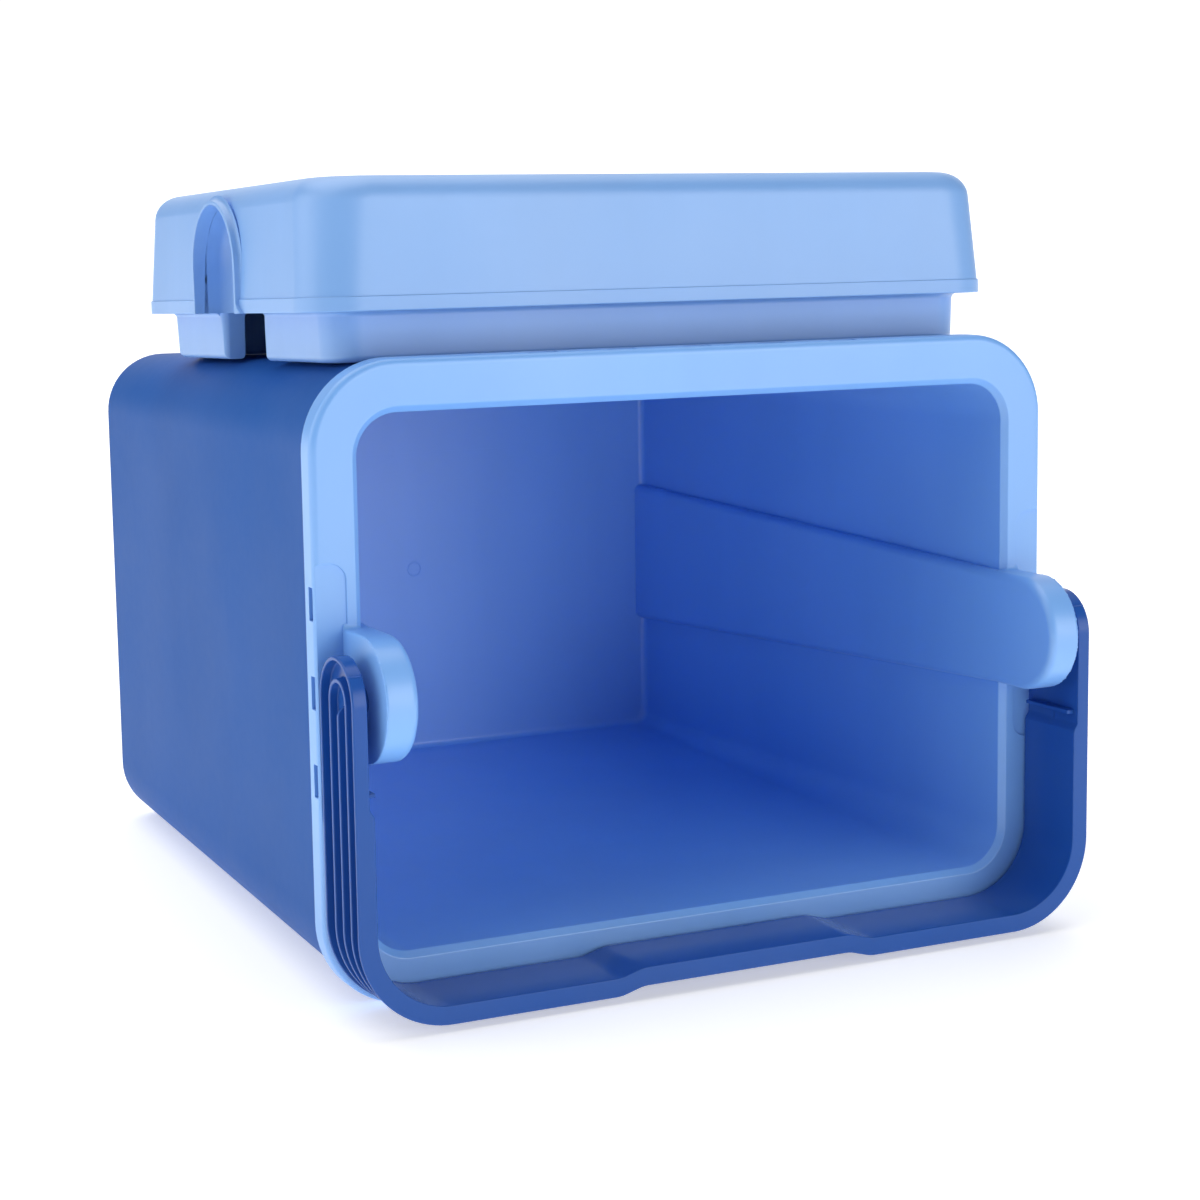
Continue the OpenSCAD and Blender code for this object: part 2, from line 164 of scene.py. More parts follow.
class Mesh:
    """Vertices and faces of one closed solid, built up loop by loop."""

    def __init__(self):
        self.verts, self.faces = [], []

    def loop(self, pts):
        start = len(self.verts)
        self.verts += [Vector(p) for p in pts]
        return list(range(start, start + len(pts)))

    def bridge(self, a, b, closed=True):
        n = len(a)
        for k in range(n if closed else n - 1):
            m = (k + 1) % n
            self.faces.append((a[k], a[m], b[m], b[k]))

    def loft(self, loops, ring=False):
        """Skin over the loops in turn. A ring joins its two ends, any other loft
        closes each end with one face."""
        ids = [self.loop(p) for p in loops]
        for a, b in zip(ids, ids[1:]):
            self.bridge(a, b)
        if ring:
            self.bridge(ids[-1], ids[0])
        else:
            self.faces += [tuple(ids[0]), tuple(ids[-1])]

    def stack(self, loops):
        """Skin over outlines that are symmetric left to right. Rungs between the two
        sides close both ends, so a concave outline is filled without overlaps."""
        ids = [self.loop(p) for p in loops]
        for a, b in zip(ids, ids[1:]):
            self.bridge(a, b)
        self.ladder(ids[0])
        self.ladder(ids[-1])

    def ladder(self, ids):
        """Fills one symmetric outline with rungs between its two sides."""
        a, b = 0, len(ids) - 1
        while b - a > 1:
            if b - a == 2:
                self.faces.append((ids[a], ids[a + 1], ids[b]))
            else:
                self.faces.append((ids[a], ids[a + 1], ids[b - 1], ids[b]))
            a, b = a + 1, b - 1

    def obj(self, name, matrix=None):
        mesh = bpy.data.meshes.new(name)
        bm = bmesh.new()
        verts = [bm.verts.new(v) for v in self.verts]
        for f in self.faces:
            bm.faces.new([verts[i] for i in f])
        bmesh.ops.remove_doubles(bm, verts=bm.verts, dist=1e-4)
        bmesh.ops.recalc_face_normals(bm, faces=bm.faces)
        if matrix:
            bm.transform(matrix)
            if matrix.determinant() < 0:
                bmesh.ops.reverse_faces(bm, faces=bm.faces)
        bm.to_mesh(mesh)
        bm.free()
        o = bpy.data.objects.new(name, mesh)
        bpy.context.scene.collection.objects.link(o)
        return o


def boolean(target, tools, kind):
    """Exact boolean of target with each tool in turn; the tools are used up."""
    for tool in tools:
        m = target.modifiers.new("cut", "BOOLEAN")
        m.operation, m.solver, m.object = kind, "EXACT", tool
        dg = bpy.context.evaluated_depsgraph_get()
        made = bpy.data.meshes.new_from_object(target.evaluated_get(dg))
        target.modifiers.clear()
        old = target.data
        target.data = made
        bpy.data.meshes.remove(old)
        bpy.data.objects.remove(tool)


def join(objects):
    """One object that holds several separate closed solids."""
    bm = bmesh.new()
    for o in objects:
        bm.from_mesh(o.data)
    first = objects[0]
    bm.to_mesh(first.data)
    bm.free()
    for o in objects[1:]:
        bpy.data.objects.remove(o)
    return first


def rect_loft(points, name, steps, corner):
    """Solid of rounded rectangles, from (profile point, radius) pairs in order."""
    m = Mesh()
    profile = rounded([p for p, _ in points], [r for _, r in points], steps, (0, 3))
    m.loft([rect_loop(*p, corner) for p in profile])
    return m.obj(name)


def lathe(rings, name, matrix, steps):
    """Solid turned about the pivot line, from (x, radius) rings."""
    m = Mesh()
    m.loft([
        [Vector((x, r * math.cos(a), PIVOT_H + r * math.sin(a))) for a in full_turn(steps)]
        for x, r in rings
    ])
    return m.obj(name, matrix)


def block(lo, hi, edge, name, matrix=None):
    """Box with rounded edges all round."""
    steps, shrink = 3, 0.9
    size = [(b - a) / 2 for a, b in zip(lo, hi)]
    mid = Vector([(b + a) / 2 for a, b in zip(lo, hi)])
    prof = [(edge * (1 - s), -size[2] + edge * (1 - c)) for s, c in quarter(steps)]
    prof += [(i, -z) for i, z in reversed(prof)]
    m = Mesh()
    m.loft([
        [p + mid for p in rect_loop(size[0] - i, size[1] - i, edge - i * shrink, z, steps)]
        for i, z in prof
    ])
    return m.obj(name, matrix)


def piece(o, name, body, material, matrix, stands_for):
    """Names a finished solid and puts it in the shared frame, riding on its body, with
    smooth shading that keeps its flats."""
    weld, sharp = 1e-3, math.radians(38)
    bm = bmesh.new()
    bm.from_mesh(o.data)
    bmesh.ops.remove_doubles(bm, verts=bm.verts, dist=weld)
    bmesh.ops.dissolve_degenerate(bm, edges=bm.edges, dist=weld)
    bmesh.ops.recalc_face_normals(bm, faces=bm.faces)
    bm.transform(matrix)
    bm.to_mesh(o.data)
    bm.free()
    o.name = name
    o.data.name = name
    o.data.shade_smooth()
    o.data.set_sharp_from_angle(angle=sharp)
    w = o.modifiers.new("normals", "WEIGHTED_NORMAL")
    w.mode, w.weight, w.keep_sharp = "FACE_AREA", 50, True
    o.data.materials.clear()
    o.data.materials.append(material)
    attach(o, body)
    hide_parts(stands_for)


# ---------------------------------------------------------------- materials
# Noise scales are in cycles per metre, and bump depths in metres.
NOISE_LOW, NOISE_HIGH = 0.3, 0.7
DRIFT_SCALE, DRIFT_DETAIL = 7.0, 2.0
STREAK_SCALE, STREAK_DETAIL, STREAK_STRETCH, STREAK_WARP = 26.0, 3.0, (1.0, 1.0, 0.12), 0.4
TONE_SCALE, TONE_LOW, TONE_HIGH = 11.0, 0.985, 1.015
RUB_SCALE, RUB_WARP, RUB_LOW, RUB_HIGH, RUB_SHINE = 24.0, 0.6, 0.5, 0.75, -0.02
HAZE_SCALE, HAZE_SPREAD = 5.0, 0.02
FINE_SCALE, FINE_SPREAD = 160.0, 0.01
WAVE_SCALE, WAVE_WARP, WAVE_DEPTH, WAVE_STRENGTH = 13.0, 0.3, 0.0011, 0.35
GRAIN_SCALE, GRAIN_DEPTH = 380.0, 0.00006
PLASTIC_IOR = 1.49
BEAD_SCALE, BEAD_DEPTH, BEAD_STRENGTH, BEAD_ROUGH = 260.0, 0.0006, 0.6, 0.75
# The bead's edge colour is painted shade, darker where the beads meet.
BEAD_MIDDLE, BEAD_EDGE_SHADE, BEAD_SHADE_AT = (0.9, 0.9, 0.88, 1), (0.72, 0.72, 0.7, 1), 0.7
WHITE = (1, 1, 1, 1)


def new_material(name):
    """A material with its nodes, links, shader and object coordinates."""
    m = bpy.data.materials.new(name)
    m.use_nodes = True
    nodes = m.node_tree.nodes
    coord = nodes.new("ShaderNodeTexCoord")
    return m, nodes, m.node_tree.links, nodes["Principled BSDF"], coord.outputs["Object"]


def plastic(name, color, rough, mottle, grain, gloss):
    """Moulded polypropylene: slow colour drift, flow streaks, fine satin grain and a
    few rubbed patches that shine more."""
    m, n, links, bsdf, place = new_material(name)
    link = links.new

    def noise_node(scale, detail, stretch=(1, 1, 1), distortion=0.0):
        mapping = n.new("ShaderNodeMapping")
        mapping.inputs["Scale"].default_value = stretch
        link(place, mapping.inputs["Vector"])
        t = n.new("ShaderNodeTexNoise")
        t.inputs["Scale"].default_value = scale
        t.inputs["Detail"].default_value = detail
        t.inputs["Distortion"].default_value = distortion
        link(mapping.outputs["Vector"], t.inputs["Vector"])
        return t.outputs["Fac"]

    def ramp(source, out_lo, out_hi, lo=NOISE_LOW, hi=NOISE_HIGH):
        r = n.new("ShaderNodeMapRange")
        r.inputs["From Min"].default_value = lo
        r.inputs["From Max"].default_value = hi
        r.inputs["To Min"].default_value = out_lo
        r.inputs["To Max"].default_value = out_hi
        link(source, r.inputs["Value"])
        return r.outputs["Result"]

    def add(a, b):
        q = n.new("ShaderNodeMath")
        for socket, x in zip(q.inputs, (a, b)):
            if isinstance(x, float):
                socket.default_value = x
            else:
                link(x, socket)
        return q.outputs[0]

    def bump(height, strength, distance):
        b = n.new("ShaderNodeBump")
        b.inputs["Strength"].default_value = strength
        b.inputs["Distance"].default_value = distance
        link(height, b.inputs["Height"])
        return b

    drift = ramp(noise_node(DRIFT_SCALE, DRIFT_DETAIL), -mottle, mottle)
    streaks = noise_node(STREAK_SCALE, STREAK_DETAIL, STREAK_STRETCH, STREAK_WARP)
    level = add(drift, ramp(streaks, -mottle / 2, mottle / 2))
    tint = n.new("ShaderNodeHueSaturation")
    tint.inputs["Color"].default_value = (*color, 1)
    link(add(level, 1.0), tint.inputs["Value"])
    link(ramp(noise_node(TONE_SCALE, 1.0), TONE_LOW, TONE_HIGH), tint.inputs["Saturation"])
    link(tint.outputs["Color"], bsdf.inputs["Base Color"])

    rub = ramp(noise_node(RUB_SCALE, 3.0, distortion=RUB_WARP), 0.0, RUB_SHINE, RUB_LOW, RUB_HIGH)
    haze = ramp(noise_node(HAZE_SCALE, 3.0), rough - HAZE_SPREAD, rough + HAZE_SPREAD)
    fine = ramp(noise_node(FINE_SCALE, 1.0), -FINE_SPREAD, FINE_SPREAD)
    link(add(add(haze, rub), fine), bsdf.inputs["Roughness"])

    wave = bump(noise_node(WAVE_SCALE, 1.0, distortion=WAVE_WARP), WAVE_STRENGTH, WAVE_DEPTH)
    satin = bump(noise_node(GRAIN_SCALE, 1.0), grain, GRAIN_DEPTH)
    link(wave.outputs["Normal"], satin.inputs["Normal"])
    link(satin.outputs["Normal"], bsdf.inputs["Normal"])
    bsdf.inputs["IOR"].default_value = PLASTIC_IOR
    bsdf.inputs["Specular IOR Level"].default_value = gloss
    return m


def bead_foam(name):
    """Moulded bead foam, for the boards that the tubs hide. Each bead is painted darker from its middle
    out to its edge: painted shade between the beads.
    """
    m, n, links, bsdf, place = new_material(name)
    cells = n.new("ShaderNodeTexVoronoi")
    cells.inputs["Scale"].default_value = BEAD_SCALE
    links.new(place, cells.inputs["Vector"])
    # Painted shade: each bead's colour darkens from its middle out to its edge.
    shade = n.new("ShaderNodeValToRGB")
    middle, edge = shade.color_ramp.elements
    middle.color, edge.color, edge.position = BEAD_MIDDLE, BEAD_EDGE_SHADE, BEAD_SHADE_AT
    links.new(cells.outputs["Distance"], shade.inputs["Fac"])
    links.new(shade.outputs["Color"], bsdf.inputs["Base Color"])
    bump = n.new("ShaderNodeBump")
    bump.invert = True
    bump.inputs["Distance"].default_value = BEAD_DEPTH
    bump.inputs["Strength"].default_value = BEAD_STRENGTH
    links.new(cells.outputs["Distance"], bump.inputs["Height"])
    links.new(bump.outputs["Normal"], bsdf.inputs["Normal"])
    bsdf.inputs["Roughness"].default_value = BEAD_ROUGH
    return m


PALE = plastic(
    "pale_polypropylene", color=(0.215, 0.475, 0.965), rough=0.345, mottle=0.03, grain=0.04, gloss=0.85,
)
LID_PALE = plastic(
    "lid_polypropylene", color=(0.225, 0.445, 0.86), rough=0.38, mottle=0.03, grain=0.04, gloss=0.8,
)
DARK = plastic(
    "dark_polypropylene", color=(0.020, 0.106, 0.39), rough=0.5, mottle=0.035, grain=0.06, gloss=0.07,
)
HANDLE = plastic(
    "handle_polypropylene", color=(0.019, 0.097, 0.40), rough=0.22, mottle=0.03, grain=0.012, gloss=0.32,
)
FOAM = bead_foam("bead_foam")


# ---------------------------------------------------------------- outer shell
def build_shell():
    least_r = 4.0
    panel_in, panel_d, panel_edge, panel_middle = 30.0, 1.2, 0.8, 40.0
    bevel_in, bevel_top, floor_rise = 4.0, 2.0, 1.4  # inside, where the base meets the walls
    slope = [(a - b) / 2 / (SHELL_TOP + CHEST_H - BASE_EDGE) for a, b in zip(SHELL, BASE)]
    foot = (BASE[0] / 2 - slope[0] * BASE_EDGE, BASE[1] / 2 - slope[1] * BASE_EDGE, BASE[2] - 1, -CHEST_H)

    def inset(d, z):
        return (foot[0] - d, foot[1] - d, max(foot[2] - d, least_r), z)

    points = [
        (inset(panel_in + panel_middle, panel_d - CHEST_H), 0),
        (inset(panel_in + panel_edge, panel_d - CHEST_H), panel_edge),
        (inset(panel_in, -CHEST_H), panel_edge),
        (foot, BASE_EDGE),
        (half(SHELL, SHELL_TOP), 0),
        (half(SHELL, SHELL_TOP, WALL), 0),
        (inset(WALL, WALL - CHEST_H + bevel_top), 0),
        (inset(WALL + bevel_in, WALL - CHEST_H + floor_rise), 0),
    ]
    o = rect_loft(points, "outer_shell_body", 7, 14)
    boolean(o, [join([barb(place) for place in slot_places()])], "UNION")
    return o


def barb(place):
    """Wedge on the shell that snaps into one of the skirt's slots."""
    tip, root, deep, gap = SKIRT_T - 1.1, SKIRT_T + FIT + 1.5, 0.5, 1.0
    top, foot, half_l = SLOT_Z + 0.7, SLOT_Z - 2.1, SLOT_L / 2 - gap
    section = rounded([(-root, top), (-tip, top), (-tip - deep, foot), (-root, foot)], [0, 0.4, 0.3, 0], 3)
    m = Mesh()
    m.loft([[Vector((x, y, z)) for x, z in section] for y in (-half_l, half_l)])
    return m.obj("barb", place)


def slot_places():
    """Frame of every snap slot: its centre on the skirt's face, turned to face out."""
    for s in (0, 1):
        side = 1 - 2 * s
        for k in range(END_SLOTS):
            at = (k - (END_SLOTS - 1) / 2) * SLOT_PITCH
            yield facing(RIM[0] / 2 * side, at, math.pi * s)
        for k in range(SIDE_SLOTS):
            at = (k - (SIDE_SLOTS - 1) / 2) * SLOT_PITCH
            yield facing(at, RIM[1] / 2 * side, math.pi / 2 + math.pi * s)


def facing(x, y, turn):
    """Frame at a point of the skirt, turned about the chest's own Z."""
    return Matrix.Translation((x, y, 0)) @ Matrix.Rotation(turn, 4, "Z")


# ---------------------------------------------------------------- liner
def build_liner():
    lip = 3.0
    tub_out = [(a + 2 * WALL) for a in OPENING[:2]] + [OPENING[2] + WALL]
    floor_out = [(a + 2 * WALL) for a in FLOOR[:2]] + [FLOOR[2] + WALL]
    mark, bead = (239.0, 144.0, 15.0), 0.1
    bead_foot, bead_in, bead_out, bead_rise = 1.2, 0.7, 0.3, 0.02
    points = [
        (half(mark, -CAVITY_D + bead_rise, bead_foot), 0),
        (half(mark, -CAVITY_D + bead, bead_in), 0),
        (half(mark, -CAVITY_D + bead, bead_out), 0),
        (half(mark, -CAVITY_D), 0),
        (half(FLOOR, -CAVITY_D), 4.0),
        (half(OPENING, -lip), 1.0),
        (half(OPENING, 0, -lip), 1.0),
        (half(RIM, 0), 3.5),
        (half(RIM, -SKIRT_H), 0.6),
        (half(RIM, -SKIRT_H, SKIRT_T), 0.4),
        (half(RIM, -WALL, SKIRT_T), 0.8),
        (half(tub_out, -WALL), 0.8),
        (half(floor_out, -CAVITY_D - WALL), 6.0),
        (half(floor_out, -CAVITY_D - WALL, 30), 0),
    ]
    o = rect_loft(points, "liner_body", 6, 16)
    slot_lo = (-SKIRT_T - 1, -SLOT_L / 2, SLOT_Z - SLOT_H / 2)
    slot_hi = (1, SLOT_L / 2, SLOT_Z + SLOT_H / 2)
    slots = [block(slot_lo, slot_hi, SLOT_EDGE, "slot", place) for place in slot_places()]
    boolean(o, [seat(flip) for flip in BOTH_ENDS] + [join(slots)], "DIFFERENCE")
    boolean(o, [tongue(flip) for flip in BOTH_ENDS], "UNION")
    boolean(o, [socket(flip) for flip in BOTH_ENDS], "DIFFERENCE")
    boolean(o, [join([flash(None, 4.0), flash(MIRROR_X, 2.0)]), gate_ring()], "UNION")
    return o


def seat(matrix):
    """Shallow seat for the handle's arm, cut into the rim at one end."""
    inner, outer, mouth = LUG_OUT - PAST, RIM[0] / 2 + 2 * PAST, 0.4
    soft, bevel = 0.45, 0.12
    half_l, mid = (outer - inner) / 2, Vector(((outer + inner) / 2, 0, 0))
    steps = [
        (soft, -SEAT_D), (bevel, bevel - SEAT_D), (0, soft - SEAT_D), (0, -mouth),
        (-bevel, -bevel), (-soft, 0.0), (-soft, 1.0),
    ]
    m = Mesh()
    m.loft([
        [p + mid for p in rect_loop(half_l - d, SEAT_HALF - d, SEAT_CORNER - d, z, 10)]
        for d, z in steps
    ])
    return m.obj("seat", matrix)


def socket(matrix):
    """Hole in one lug for the handle's boss, with a chamfered mouth."""
    r, chamfer = BOSS_R + BOSS_GAP, 0.5
    rings = [
        (LUG_IN + WALL, r), (LUG_OUT - chamfer, r),
        (LUG_OUT, r + chamfer), (LUG_OUT + PAST, r + chamfer),
    ]
    return lathe(rings, "socket", matrix, 40)


def gate_ring():
    """Low ring that the moulding gate left in the middle of the cavity's floor."""
    r_mid, r_tube, rise, squash = 4.2, 0.55, 0.1, 0.45
    m = Mesh()
    loops = []
    for a in full_turn(40):
        loop = []
        for b in full_turn(8):
            r = r_mid + r_tube * math.cos(b)
            z = -CAVITY_D + rise + squash * r_tube * math.sin(b)
            loop.append(Vector((r * math.cos(a), r * math.sin(a), z)))
        loops.append(loop)
    m.loft(loops, ring=True)
    return m.obj("gate_ring")


def flash(matrix, seed):
    """Uneven thread of moulding flash round the outer edge of one lug."""
    steps, sides = 150, 6
    lo, hi = math.radians(-4), math.radians(184)
    slow, quick, quick_share = 0.31, 0.83, 0.6
    thin, swell, sink = 0.2, 0.6, 0.28
    reach_most, reach_rise = 0.45, 3.0
    x_in, x_drift = 0.3, 0.15
    m = Mesh()
    loops = []
    for k in range(steps + 1):
        a = lo + (hi - lo) * k / steps
        rough = noise.noise(Vector((k * slow, seed, 0.0)))
        rough += quick_share * noise.noise(Vector((k * quick, seed, 4.0)))
        thick = thin + swell * max(0.0, rough)
        # No reach past the lug at its crown, where the CAD's box ends.
        reach = reach_most * min(1.0, reach_rise * math.cos(a) ** 2)
        r_mid = min(LUG_R - sink, LUG_R + reach - thick)
        x_mid = LUG_OUT - x_in + x_drift * rough
        loop = []
        for b in full_turn(sides):
            r = r_mid + thick * math.cos(b)
            loop.append(Vector((x_mid + thick * math.sin(b), r * math.cos(a), PIVOT_H + r * math.sin(a))))
        loops.append(loop)
    m.loft(loops)
    return m.obj("flash", matrix)


def crown(r, steps=28):
    """Points (y, z) and outward normals over a half circle about the pivot line."""
    out = []
    for k in range(steps + 1):
        a = math.pi * (1 - k / steps)
        out.append((r * math.cos(a), PIVOT_H + r * math.sin(a), math.cos(a), math.sin(a)))
    return out


def tongue(matrix):
    """Raised band of one end wall with the pivot lug that grows out of it: outlines of
    the band and lug, stacked from the inner face outwards."""
    fillet, flare_r, flare_run, sink, edge = 4.0, 2.4, 5.0, 0.2, 1.1
    band_end, band_swell = -2.2, 2.0
    lean = (BAND_FLOOR - LUG_R) / CAVITY_D
    face_slope = (LUG_IN - BAND_IN_FLOOR) / (CAVITY_D - WALL)
    band_d = OPENING[0] / 2 - LUG_IN
    lug_d = LUG_OUT - LUG_IN

    heights = [-CAVITY_D - PAST]
    heights += [-CAVITY_D * f for f in (1.0, 0.985, 0.9, 0.75, 0.6, 0.45, 0.3, 0.18, 0.09, 0.04)]
    heights += [-8.0, -5.0, -3.4, -2.6, -2.0, -1.0, -sink, 0.3, 0.8, 1.5, 2.4, 3.3, 5.0, 9.0, 15.0]
    left = [(-LUG_R - max(0.0, -z) * lean, z, -1.0, 0.0) for z in heights]
    right = [(-y, z, -ny, nz) for y, z, ny, nz in reversed(left)]
    outline = left + crown(LUG_R) + right

    layers = [(fillet * (1 - s), fillet * (1 - c)) for s, c in quarter(8)]
    layers += [(0, d) for d in (5.2, band_d, 7.2, 8.2, 9.3, 10.4, 11.3, 12.6, lug_d - edge)]
    layers += [(edge * (1 - c), lug_d - edge + edge * s) for s, c in list(quarter(5))[1:]]

    loops = []
    for inset, depth in layers:
        pts = []
        for y, z, ny, nz in outline:
            d, grow = depth, 0.0
            if depth > band_d and z < band_end:
                d = band_d + (depth - band_d) * band_swell / (lug_d - band_d)
            if depth > band_d and band_end < z < flare_r:
                h = min(flare_r, max(0.0, z + sink))
                grow = flare_r - math.sqrt(max(0.0, flare_r ** 2 - (flare_r - h) ** 2))
                grow *= smooth(min(1.0, (depth - band_d) / flare_run))
            x = LUG_IN + d - face_slope * max(0.0, -z - WALL)
            pts.append(Vector((x, y + ny * (grow - inset), z - nz * inset)))
        loops.append(pts)
    m = Mesh()
    m.stack(loops)
    return m.obj("tongue", matrix)


# ---------------------------------------------------------------- handle
BEND_X, BEND_Y = ARM_OUT - BAIL_R, BAIL_R - REACH
WEB_X = ARM_OUT - CHANNEL_D + RELIEF
BELOW_ARMS = -99.0  # stands for the height of every station past the arms


def jog(x):
    """How far the grip is set in at x, with soft corners."""
    w = GRIP_SOFT / GRIP_SLOPE
    t = (GRIP_L / 2 + GRIP_SLOPE - abs(x)) / GRIP_SLOPE
    if t <= -w:
        return 0.0
    if t >= 1 + w:
        return GRIP_IN
    if t < w:
        return GRIP_IN * (t + w) ** 2 / (4 * w)
    if t > 1 - w:
        return GRIP_IN * (1 - (1 + w - t) ** 2 / (4 * w))
    return GRIP_IN * t


def on_arm(side, y):
    return lambda o: Vector((side * (ARM_OUT - o), y))


def on_bend(side, a):
    c, s = math.cos(a), math.sin(a)
    return lambda o: Vector((side * BEND_X + (BAIL_R - o) * c, BEND_Y + (BAIL_R - o) * s))


def on_grip(x):
    return lambda o: Vector((x, -REACH + o + jog(x)))


def handle_path():
    """Stations from the left pivot round to the right one: each is a function that
    gives the point at a depth o below the outer edge, and its height on the arm. They
    are closer together where the arm's relief ends and where the grip slopes."""
    bend_steps, slope_steps, slope_lead = 22, 14, 2.6
    arm = [0.0, -10.0, -20.0, -30.0, -40.0, -45.0, -45.5, -46.2, -47.2, -48.6, -49.6, -50.2, -52.0,
           -62.0, -76.0, -90.0]
    slope_from = -GRIP_L / 2 - GRIP_SLOPE
    slope_run = GRIP_SLOPE + 2 * slope_lead
    xs = [25.0 - BEND_X, 50.0 - BEND_X, slope_from - 6.0]
    xs += [slope_from - slope_lead + slope_run * k / slope_steps for k in range(slope_steps + 1)]
    xs += [8.0 - GRIP_L / 2, -30.0]
    xs += [0.0] + [-x for x in reversed(xs)] + [BEND_X]
    turns = [math.pi / 2 * k / bend_steps for k in range(1, bend_steps + 1)]
    out = [(on_arm(-1, y), y) for y in arm + [BEND_Y]]
    out += [(on_bend(-1, math.pi + a), BELOW_ARMS) for a in turns]
    out += [(on_grip(x), BELOW_ARMS) for x in xs]
    out += [(on_bend(1, 1.5 * math.pi + a), BELOW_ARMS) for a in turns]
    out += [(on_arm(1, y), y) for y in reversed(arm)]
    return out


def handle_section(y):
    """Upper half of the comb section at height y below the pivot: (depth, height). The
    relief near the pivot ends in a soft ramp."""
    web_low, root = 0.15, 0.1
    ramp_top, ramp_foot = -45.2, -50.0
    relief = RELIEF * (1 - smooth(min(1.0, max(0.0, (ramp_top - y) / (ramp_top - ramp_foot)))))
    edge = CHANNEL_D - relief
    web = edge - web_low
    val = web - RIB
    h, pitch, t = ARM_W / 2, (ARM_W - RIB) / 4, RIB / 2
    pts = [  # depth, height, corner radius
        (web, 0, 0), (web, h - RIB - root, 0.5), (edge, h - RIB + 0.2, 0.2), (edge, h, 0.5),
        (0.0, h, 0.8), (0.0, h - RIB + 0.3, 0.5), (val, h - RIB, 0.7),
        (val, pitch + t + root, 0.7), (RIB_TIP, pitch + t - RIB_DRAFT, 0.5),
        (RIB_TIP, pitch - t + RIB_DRAFT, 0.5), (val, pitch - t - root, 0.7), (val, 0, 0),
    ]
    return rounded([p[:2] for p in pts], [p[2] for p in pts], 3)


def build_handle():
    path = handle_path()
    m = Mesh()
    ids = []
    for place, y in path:
        top = handle_section(y)
        full = top + [Vector((o, -h)) for o, h in reversed(top[1:-1])]
        ids.append(m.loop([Vector((*place(o), PIVOT_H + h)) for o, h in full]))
    for a, b in zip(ids, ids[1:]):
        m.bridge(a, b)
    for side in (-1, 1):
        arm_end(m, side)
    o = m.obj("handle_body")
    extras = [make(flip) for make in (boss, stop, seam) for flip in BOTH_ENDS]
    boolean(o, extras + [centre_rib(path)], "UNION")
    return o


def arm_end(m, side):
    """Half-round end of one arm, its section turned about the pivot line."""
    steps = 24
    top = handle_section(0.0)
    rings = []
    for k in range(steps + 1):
        s, c = math.sin(math.pi * k / steps), math.cos(math.pi * k / steps)
        rings.append(m.loop([Vector((side * (ARM_OUT - o), h * s, PIVOT_H + h * c)) for o, h in top]))
    for a, b in zip(rings, rings[1:]):
        m.bridge(a, b, closed=False)


def boss(matrix):
    """Pivot boss of one arm, with a flared root."""
    root_r = BOSS_R + 1.3
    rings = [
        (LUG_IN + WALL + 1.0, BOSS_R - 0.8), (LUG_IN + WALL + 1.8, BOSS_R), (WEB_X - 1.2, BOSS_R),
        (WEB_X - 0.5, BOSS_R + 0.35), (WEB_X + 0.2, root_r), (WEB_X + 1.0, root_r),
    ]
    return lathe(rings, "boss", matrix, 48)


def stop(matrix):
    """Cross rib on the inner face of one arm, below the lug."""
    foot_x, rise, half_w = WEB_X + 0.6, 4.7, 17.6
    lo, hi = (foot_x - rise, -41.0, PIVOT_H - half_w), (foot_x, -39.0, PIVOT_H + half_w)
    return block(lo, hi, 0.45, "stop", matrix)


def seam(matrix):
    """Thin mould seam across the rounded end of one arm."""
    angle, half_t, end_gap = math.radians(42), 0.3, 0.4
    y, z = ARM_W / 2 * math.sin(angle), PIVOT_H + ARM_W / 2 * math.cos(angle)
    lo, hi = (WEB_X + end_gap, y - half_t, z - half_t), (ARM_OUT - end_gap, y + half_t, z + half_t)
    return block(lo, hi, half_t / 2, "seam", matrix)


def centre_rib(path):
    """Middle rib of the comb, which slants out of the web just below each pivot."""
    start, root, sink, relief_end = -2.0, 0.1, 0.3, -38.0
    foot = CHANNEL_D - RIB + sink
    foot_in_relief = foot - RELIEF + sink

    def row(place, tip, foot):
        half_t = RIB / 2
        section = rounded([
            (foot, half_t + root), (tip, half_t - RIB_DRAFT),
            (tip, RIB_DRAFT - half_t), (foot, -half_t - root),
        ], [0, 0.5, 0.5, 0], 3)
        return [Vector((*place(o), PIVOT_H + h)) for o, h in section]

    slant = [(start, 3.6), (start - 1.2, 2.2), (start - 2.6, 1.1), (start - 4.2, RIB_TIP)]
    rows = [row(on_arm(-1, y), tip, foot_in_relief) for y, tip in slant]
    for place, y in path:
        if y <= start - 6.0:
            rows.append(row(place, RIB_TIP, foot_in_relief if y > relief_end else foot))
    rows += [row(on_arm(1, y), tip, foot_in_relief) for y, tip in reversed(slant)]
    m = Mesh()
    m.loft(rows)
    return m.obj("centre_rib")


# ---------------------------------------------------------------- lid
CLEAR_X = LID[0] / 2 + 6.0
CAP_R = 6.0  # how much rounder the cap's plan is at its top than at its side
PLUG = (LID[0] - 2 * PLUG_IN, LID[1] - 2 * PLUG_IN, PLUG_R)


def arch_path(r, foot, legs=6):
    """Points (y, z) and outward normals up one leg, over the arch and down the other."""
    rise = [foot + (PIVOT_H - foot) * k / legs for k in range(legs)]
    return [(-r, z, -1.0, 0.0) for z in rise] + crown(r) + [(r, z, 1.0, 0.0) for z in reversed(rise)]


def arch_solid(layers, foot, name, matrix):
    """Solid arch from (x, offset) layers, each an arch of radius NOTCH_R + offset."""
    m = Mesh()
    m.stack([[Vector((x, y, z)) for y, z, _, _ in arch_path(NOTCH_R + d, foot)] for x, d in layers])
    return m.obj(name, matrix)


def cap_profile(z, gap=0.0):
    """The cap's leaning side at height z."""
    lean = LID_LEAN * (z / (LID_H - LID_EDGE))
    return (LID[0] / 2 - lean - gap, LID[1] / 2 - lean - gap, LID[2] - lean - gap, z)


def middle(profile, inset, r):
    """The middle of a flat face, well inside the profile point at its edge."""
    return (profile[0] - inset, profile[1] - inset, r, profile[3])


